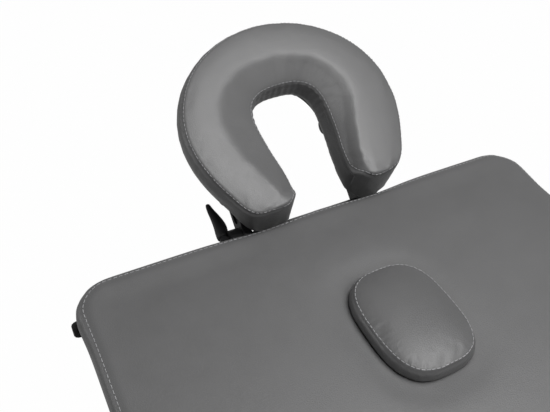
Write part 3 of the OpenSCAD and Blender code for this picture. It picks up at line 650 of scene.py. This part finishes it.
plug = copy_of("face_plug", "plug_cover")
remesh(plug, size=0.004)
hug(plug, "face_plug")
puff(plug, in_hole, inset=0.0015, cap=0.004)
finer(plug)
points = points_of(plug.data)
outward = reach(points, PLUG_HALF)
local = points - np.array(PLUG_MIDDLE)
height = local[:, 2]
dome = 0.0025 * np.clip(1 - outward ** 2, 0, 1) * (height > 0.012)
neck = np.clip((0.006 - height) / 0.005, 0, 1) * np.clip((outward - 0.5) / 0.3, 0, 1)
skirt = np.clip((0.015 - height) / 0.009, 0, 1) * np.clip((outward - 0.82) / 0.1, 0, 1)
lowered = 0.0052 * np.clip((0.014 - height) / 0.010, 0, 1)
points[:, 0] += local[:, 0] * (0.030 * neck + 0.034 * skirt)
points[:, 1] += local[:, 1] * (0.023 * neck + 0.027 * skirt)
points[:, 2] += dome - lowered
place_points(plug.data, points)
away, along = press_seam(plug, oval(inset=0.0012, z=0.0165), depth=0.0016, width=0.0026)
points = points_of(plug.data)
on_top = points[:, 2] > TOP + 0.017
puckers = np.sin(along / 0.0085 * 2 * math.pi + 2.1 * np.sin(along / 0.021))
puckers *= 0.5 + 0.5 * np.sin(along / 0.037 + 1.0)
depth = 0.0004 * puckers * np.exp(-away / 0.009) * (1 - np.exp(-away / 0.003)) * on_top
place_points(plug.data, points + normals_of(plug.data) * depth[:, None])
dress(plug, plug_leather, "face_plug", "plug")
edge = oval(inset=0.0045, z=0.0195)
row = stitches("plug_stitches", plug, edge, pitch=6 * MM, long=4 * MM)
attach(row, "plug")

# %% [markdown]
# The head cushion is a horseshoe. Its top panel is nearly level outside a crest, and slopes down
# from the crest to the opening. A boxed wall is sewn to it all round, and on the tight inner bend
# that wall is gathered into small upright folds. The seam lines are worked out here from the same
# two edge curves as the model's form: part of an oval for the head, then a smooth curve through
# a few points of the arm. The curves are in millimetres in the cushion's own plane, which rises
# away from the table. 'climb' runs up that plane and 'square' stands out of it. Heights are
# counted from the top of the outer wall, so the base is at minus the wall's height.

# %% The cushion's own axes and its edge curves
SLOPE = math.radians(30)
TURN = math.radians(3.4)
cushion_origin = Vector((0, HEAD_EDGE, TOP + 0.040))
climb = Vector((0, math.cos(SLOPE), math.sin(SLOPE)))
square = Vector((0, -math.sin(SLOPE), math.cos(SLOPE)))
WALL = 50
SIDEWAYS = 5.4
HALF_CUSHION = 165
HALF_OPENING = 50
# The head's two ovals have their middle this far up the plane, where the cushion is also turned.
# They reach this much further up, and end at this station.
OVALS_AT = 110
OUTER_OVAL = 142
INNER_OVAL = 44
OVAL_END = 0.4
# Shares of the two half widths and places up the plane: outer x, outer v, inner x, inner v.
arm = np.array([
    (1, 134, 1, 128), (1, 110, 1, 110), (0.99, 88, 0.97, 91), (0.955, 64, 0.93, 71),
    (0.905, 42, 0.875, 53), (0.85, 23, 0.84, 37), (0.80, 7.5, 0.835, 24),
    (0.75, -3.5, 0.87, 12.5), (0.695, -11, 0.95, 2.5), (0.63, -15.5, 1.07, -6),
    (0.565, -17.7, 1.20, -12.5), (0.50, -18.7, 1.32, -16.6), (0.45, -19, 1.4, -18.5),
])


def through(t):
    """A smooth curve through the rows of the arm."""
    i = min(int(t), len(arm) - 4)
    a, b, c, d = arm[i:i + 4]
    u = t - i
    return (2 * b + (c - a) * u + (2 * a - 5 * b + 4 * c - d) * u * u
            + (3 * b - a - 3 * c + d) * u ** 3) / 2


def edges_at(s):
    """Outer and inner edge points, from s = 0 at the head to s = 1 at an arm's end."""
    if s < OVAL_END:
        a = s / OVAL_END * math.pi / 2
        k = (math.sin(a) ** 3 + math.cos(a) ** 3) ** (-1 / 3)
        outer = (HALF_CUSHION * math.sin(a), OVALS_AT + OUTER_OVAL * math.cos(a))
        return outer, (HALF_OPENING * math.sin(a) * k, OVALS_AT + INNER_OVAL * math.cos(a) * k)
    row = through((s - OVAL_END) / (1 - OVAL_END) * (len(arm) - 3))
    return (HALF_CUSHION * row[0], row[1]), (HALF_OPENING * row[2], row[3])


def smooth_step(t):
    t = np.clip(t, 0, 1)
    return t * t * (3 - 2 * t)


def lean(s):
    """How far the wall at an arm's end leans back, in millimetres. The left one leans more."""
    return np.where(s < 0, 8, 2) * smooth_step((np.abs(s) - 0.70) / 0.24)


def run_out(s):
    """0 where the inner slope is full, 1 at an arm's end, where the top is level."""
    return smooth_step((np.abs(s) - 0.72) / 0.18)


def on_cushion(s, share, h):
    """A point of the cushion: station (left arm below 0), place across the band, height."""
    (ox, ov), (ix, iv) = edges_at(abs(s))
    x = (ox + ix + (ox - ix) * share) / 2 * (-1 if s < 0 else 1)
    v = (ov + iv + (ov - iv) * share) / 2 - OVALS_AT + lean(s) * (h + WALL) / WALL
    turned_x = x * math.cos(TURN) - v * math.sin(TURN) + SIDEWAYS
    turned_v = x * math.sin(TURN) + v * math.cos(TURN) + OVALS_AT
    return cushion_origin + (Vector((turned_x, 0, 0)) + climb * turned_v + square * h) * MM


def round_the_band(outer, inner, h_outer, h_inner, end=1.0):
    """A closed line: along the outer edge, round an arm's end, and back along the inner edge."""
    count = 320
    stations = [end * math.sin(math.pi / 2 * (2 * i / count - 1)) for i in range(count + 1)]
    rise = h_outer - h_inner
    there = [on_cushion(s, outer, h_outer) for s in stations]
    back = [on_cushion(s, inner, h_inner + rise * run_out(s)) for s in reversed(stations)]
    return [tuple(p) for p in there + back + there[:1]]


edge_seam = round_the_band(1.0, -0.93, 1.5, -13)
print("cushion seam", len(edge_seam), "points")


# %% The cushion
def on_platform(points):
    """True for the points of the cushion's flat base, which stay put."""
    height = (points - np.array(cushion_origin)) @ np.array(square)
    return height < -0.046


cushion = copy_of("head_cushion", "cushion_cover")
remesh(cushion, size=0.004)
hug(cushion, "head_cushion")
puff(cushion, on_platform, inset=0.0008, cap=0.003)
finer(cushion)

# %% [markdown]
# Each point of the filled cover needs its own station, from the left arm's end at -1 over the head
# at 0 to the right arm's end at 1, and its share of the way across the band, from the opening at
# -1 to the outer edge at 1. A grid of known places gives the nearest one, and the step from it to
# the point is solved in the grid's two directions.


# %% Station and share of a point
stations = np.linspace(-1, 1, 401)
shares = np.linspace(-1.05, 1.05, 64)
known = np.array([[on_cushion(a, c, -WALL) - cushion_origin for c in shares] for a in stations])
known = np.stack([known[..., 0], known @ np.array(climb)], axis=-1)
along_s, along_c = np.gradient(known, axis=0), np.gradient(known, axis=1)
places = KDTree(known.shape[0] * known.shape[1])
for i, (x, v) in enumerate(known.reshape(-1, 2)):
    places.insert((x, v, 0), i)
places.balance()


def stations_of(x, v):
    """Station and share across the band, for points given in the cushion's plane."""
    found = np.array([places.find((a, b, 0))[1] for a, b in zip(x, v)])
    i, j = np.unravel_index(found, known.shape[:2])
    rest = np.stack([x, v], axis=-1) - known[i, j]
    a, b = along_s[i, j], along_c[i, j]
    area = a[:, 0] * b[:, 1] - a[:, 1] * b[:, 0]
    area = np.where(np.abs(area) < 1e-12, 1e-12, area)
    di = np.clip((rest[:, 0] * b[:, 1] - rest[:, 1] * b[:, 0]) / area, -0.6, 0.6)
    dj = np.clip((a[:, 0] * rest[:, 1] - a[:, 1] * rest[:, 0]) / area, -0.6, 0.6)
    return stations[i] + di * (stations[1] - stations[0]), shares[j] + dj * (shares[1] - shares[0])


print("known places", known.shape[0] * known.shape[1])

# %% [markdown]
# The filled cover gets the shapes that a sewn cushion has and plain air pressure doesn't give. The
# walls at the arms' ends lean back, and their lower corners sag. The top is level outside the
# crest and falls in one even slope from it to the opening, and both run out towards the arms'
# ends. The crest isn't quite a smooth line, because the cover is pulled into faint folds there.
# The inner wall is tucked in under its seam.

# %% The arms' ends and the crest
mesh = cushion.data
points = points_of(mesh)
local = points - np.array(cushion_origin)
height = local @ np.array(square) / MM
climbed = local @ np.array(climb)
s, share = stations_of(local[:, 0], climbed)
leans = lean(s) * np.clip((height + WALL) / WALL, 0, 1)
scallop = 0.016 * np.sin(38 * s + 1.5 * np.sin(9 * s)) + 0.009 * np.sin(83 * s)
crest_at = (-1, -0.78, -0.58, -0.36, -0.16, 0, 0.3, 0.44, 0.54, 0.7, 0.85, 1)
crest_share = (-0.36, -0.28, -0.08, 0.09, 0.03, -0.06, -0.12, -0.26, -0.42, -0.5, -0.56, -0.6)
crest = np.interp(s, crest_at, crest_share) + scallop
# Heights in millimetres. 'slope' falls from the crest to the inner seam, 'flatter' is the top
# brought towards a level band outside the crest, and 'soft' is the lower of the two, blended.
slope = 7.6 - 20.6 * (crest - share) / (crest + 0.93)
band = 7.0 - 2.0 * np.clip((share - crest) / (0.95 - crest), 0, 1) ** 4
level = 0.8 * smooth_step((share - crest + 0.3) / 0.3) * smooth_step((0.99 - share) / 0.1)
flatter = height + (band - height) * level * (height > -13)
soft = -1.1 * np.logaddexp(-flatter / 1.1, -slope / 1.1)
full = 1 - smooth_step((np.abs(s) - np.where(s < 0, 0.55, 0.68)) / 0.24)
drop = np.clip(height - soft, -9, 9) * full * (height > -14) * (share > -0.99)
fold = np.sin(150 * s + 2 * np.sin(31 * s)) * smooth_step((crest - share) / 0.3)
drop += 0.07 * fold * full * (height > -12)
move = np.outer(leans, np.array(climb)) - np.outer(drop, np.array(square))
# The arms' ends sag at the base: both down by over a centimetre, their right sides to the right,
# and the right arm's towards the table.
sag = smooth_step((np.abs(s) - 0.62) / 0.2) * np.clip(-height / WALL, 0, 1) ** 1.5
right_side = smooth_step((np.where(s < 0, -share, share) + 0.2) / 0.9)
move[:, 0] += sag * 10 * right_side
move[:, 1] -= sag * np.where(s < 0, -1, 7)
move[:, 2] -= sag * np.where(s < 0, 11.5, 12)
# The inner wall is tucked in below its seam.
under_seam = smooth_step((-13 - height) / 5) * (1 - smooth_step((-24 - height) / 18))
tuck = 3.0 * under_seam * smooth_step((-0.88 - share) / 0.06) * (np.abs(s) < 0.84)
points = points + (move - normals_of(mesh) * tuck[:, None]) * MM
place_points(mesh, points)
print("top lowered by up to", round(float(drop.max()), 1), "mm")
_, along = press_seam(cushion, edge_seam, depth=0.0022, width=0.0032)

# %% Gathers of the boxed wall
mesh = cushion.data
points = points_of(mesh)
local = points - np.array(cushion_origin)
height = local @ np.array(square)
climbed = local @ np.array(climb)
# The tight inner bend lies inside an ellipse round the head end of the opening.
bend = np.hypot(local[:, 0] / 0.062, (climbed - 0.115) / 0.058)
inner_wall = (bend < 1) & (climbed > 0.105) & (height < -0.012)
under = np.maximum(-height - 0.014, 0)
fade = np.exp(-under / 0.016) * (1 - np.exp(-under / 0.003))
ripple = np.sin(along / 0.0105 * 2 * math.pi + 1.7 * np.sin(along / 0.043))
depth = 0.0010 * inner_wall * fade * ripple
place_points(mesh, points + normals_of(mesh) * depth[:, None])
dress(cushion, cradle_leather, "head_cushion", "cushion")
print("gathered", int(inner_wall.sum()), "points of the inner wall")

# %% Its stitches
edge = round_the_band(0.94, -0.86, 4, -11, end=0.985)
row = stitches("cushion_stitches", cushion, edge, pitch=6 * MM, long=4 * MM)
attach(row, "cushion")

# %% [markdown]
# The cam levers of the cradle are moulded in one piece: a short drum on the cam's pin and an
# upturned horn that thins out towards its tip. Rings are set along the horn's path and bridged,
# and a subdivision surface rounds the whole.


# %% A cam lever
def lever(name, node, body, matrix):
    """A lever whose pin is the matrix's Z axis. Sizes are in millimetres."""
    # Each ring: its middle in X, Y and Z, half its width and half its height.
    path = [
        (2.4, 9, 0.4, 9.2, 9.6), (3.4, 16, 0.6, 9.8, 9.2), (5, 24, 1.2, 10.2, 8.2),
        (6.4, 31, 2.6, 10, 7), (6, 40, 5.6, 8.8, 6), (4, 49, 10.5, 7, 5.2),
        (1.4, 55, 15.5, 5.4, 4.6), (-0.4, 59, 21, 4, 3.8), (-1, 60.5, 25, 3, 3.2),
    ]
    shape = bmesh.new()
    rings = []
    for i, (x, y, z, wide, high) in enumerate(path):
        before, after = path[max(0, i - 1)], path[min(len(path) - 1, i + 1)]
        rise = math.atan2(after[2] - before[2], after[1] - before[1])
        place = Matrix.Translation((x, y, z)) @ Matrix.Rotation(rise + math.pi / 2, 4, "X")
        made = bmesh.ops.create_circle(
            shape, segments=12, radius=1, matrix=place @ Matrix.Diagonal((wide, high, 1, 1)),
        )
        rings.append([e for e in shape.edges if all(v in made["verts"] for v in e.verts)])
    for a, b in zip(rings, rings[1:]):
        bmesh.ops.bridge_loops(shape, edges=a + b)
    bmesh.ops.holes_fill(shape, edges=rings[0] + rings[-1], sides=12)
    drum = bmesh.ops.create_cone(
        shape, cap_ends=True, segments=24, radius1=7, radius2=7, depth=21,
    )
    rim = [e for e in shape.edges if all(v in drum["verts"] for v in e.verts)
           and abs(e.verts[0].co.z - e.verts[1].co.z) < 1e-6]
    bmesh.ops.bevel(shape, geom=rim, offset=1.0, segments=2, affect="EDGES", profile=0.5,
                    material=-1)
    bmesh.ops.recalc_face_normals(shape, faces=shape.faces)
    bmesh.ops.transform(shape, matrix=matrix @ Matrix.Scale(MM, 4), verts=shape.verts)
    mesh = bpy.data.meshes.new(name)
    shape.to_mesh(mesh)
    shape.free()
    piece = bpy.data.objects.new(name, mesh)
    bpy.context.scene.collection.objects.link(piece)
    smooth = piece.modifiers.new("rounded", "SUBSURF")
    smooth.levels = smooth.render_levels = 2
    mesh.materials.append(black_nylon)
    for face in mesh.polygons:
        face.use_smooth = True
    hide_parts(node)
    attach(piece, body)
    print(name, "faces", len(mesh.polygons))


lower_axle = Vector((-0.130, HEAD_EDGE + 0.028, TOP - 0.050))
lever("lower_cam_lever", "lower_lever", "lower_cam", Matrix.Translation(lower_axle))
upper_axle = cushion_origin + (climb * 105 - square * 78) * MM + Vector((0.1125, 0, 0))
turned = Matrix.Rotation(SLOPE, 4, "X") @ Matrix.Rotation(math.pi, 4, "Y")
lever("upper_cam_lever", "upper_lever", "upper_cam", Matrix.Translation(upper_axle) @ turned)

# %% [markdown]
# The table stands on a white floor. The camera sees that floor close to pure white, with the
# table's own shadow kept in it, because most of its colour for camera rays is a plain white that
# no lamp has to make. Reflections see a quarter of that white.


# %% Floor
def floor_finish():
    f = Finish("white_floor")
    place = f.place()
    speck = f.noise(place, 5.0, 3.0)
    matt = f.node("BsdfDiffuse", None, {"Color": f.tint((0.34, 0.34, 0.34), 0.01, speck)})
    white = f.node("Emission", None, {"Color": (1, 1, 1, 1), "Strength": 1.0})
    path = f.tree.nodes.new("ShaderNodeLightPath")
    seen = Signal(f.tree, path.outputs["Is Camera Ray"])
    shine = Signal(f.tree, path.outputs["Is Glossy Ray"])
    through = Signal(f.tree, path.outputs["Is Transmission Ray"])
    share = (seen + shine * 0.25 + through).clamp() * 0.99
    both = f.node("MixShader", None, {0: share, 1: matt, 2: white})
    output = f.tree.nodes.new("ShaderNodeOutputMaterial")
    f.tree.links.new(both.out, output.inputs["Surface"])
    return f.material


sheet = bmesh.new()
bmesh.ops.create_grid(sheet, x_segments=2, y_segments=2, size=14)
mesh = bpy.data.meshes.new("floor")
sheet.to_mesh(mesh)
sheet.free()
floor = bpy.data.objects.new("floor", mesh)
floor.location.z = -0.001
bpy.context.scene.collection.objects.link(floor)
mesh.materials.append(floor_finish())

# %% [markdown]
# One large softbox hangs above the head half, a little to the right, and makes the soft sheen on
# the top, the plug and the head cushion. A faint one on the left lights the left walls. A dim
# white world, brightest at the horizon beyond the head end, fills the rest.

# %% World and lamps
world = bpy.data.worlds.new("white room")
bpy.context.scene.world = world
world.use_nodes = True
tree = world.node_tree
tree.nodes.clear()
path = tree.nodes.new("ShaderNodeLightPath")
seen = Signal(tree, path.outputs["Is Camera Ray"])
where = tree.nodes.new("ShaderNodeTexCoord")
axes = tree.nodes.new("ShaderNodeSeparateXYZ")
tree.links.new(where.outputs["Generated"], axes.inputs[0])
ahead = Signal(tree, axes.outputs[1])
up = Signal(tree, axes.outputs[2])
overhead = (up * 1.5 + 0.3).clamp()
horizon = (1.0 - up.math("ABSOLUTE", up) * 2.4).clamp() * (ahead * 0.9 + 0.45).clamp()
room = overhead * (0.15 - ahead * 0.02) + horizon * 0.40 + 0.025
back = tree.nodes.new("ShaderNodeBackground")
back.inputs["Color"].default_value = (1, 1, 1, 1)
feed(tree, back.inputs["Strength"], room + seen * (1.0 - room))
out = tree.nodes.new("ShaderNodeOutputWorld")
tree.links.new(back.outputs[0], out.inputs["Surface"])


def softbox(name, place, aim, size, power):
    lamp = bpy.data.lights.new(name, "AREA")
    lamp.shape = "RECTANGLE"
    lamp.size, lamp.size_y = size
    lamp.energy = power
    obj = bpy.data.objects.new(name, lamp)
    bpy.context.scene.collection.objects.link(obj)
    obj.location = place
    obj.rotation_euler = (Vector(aim) - Vector(place)).to_track_quat("-Z", "Y").to_euler()


softbox("left softbox", (-2.4, 1.8, 0.95), (0, 0.8, 0.7), (1.4, 1.0), 8)
softbox("top softbox", (0.44, 0.05, 2.45), (-0.15, -0.1, 0.64), (1.7, 1.2), 46)
print("world and lamps set")
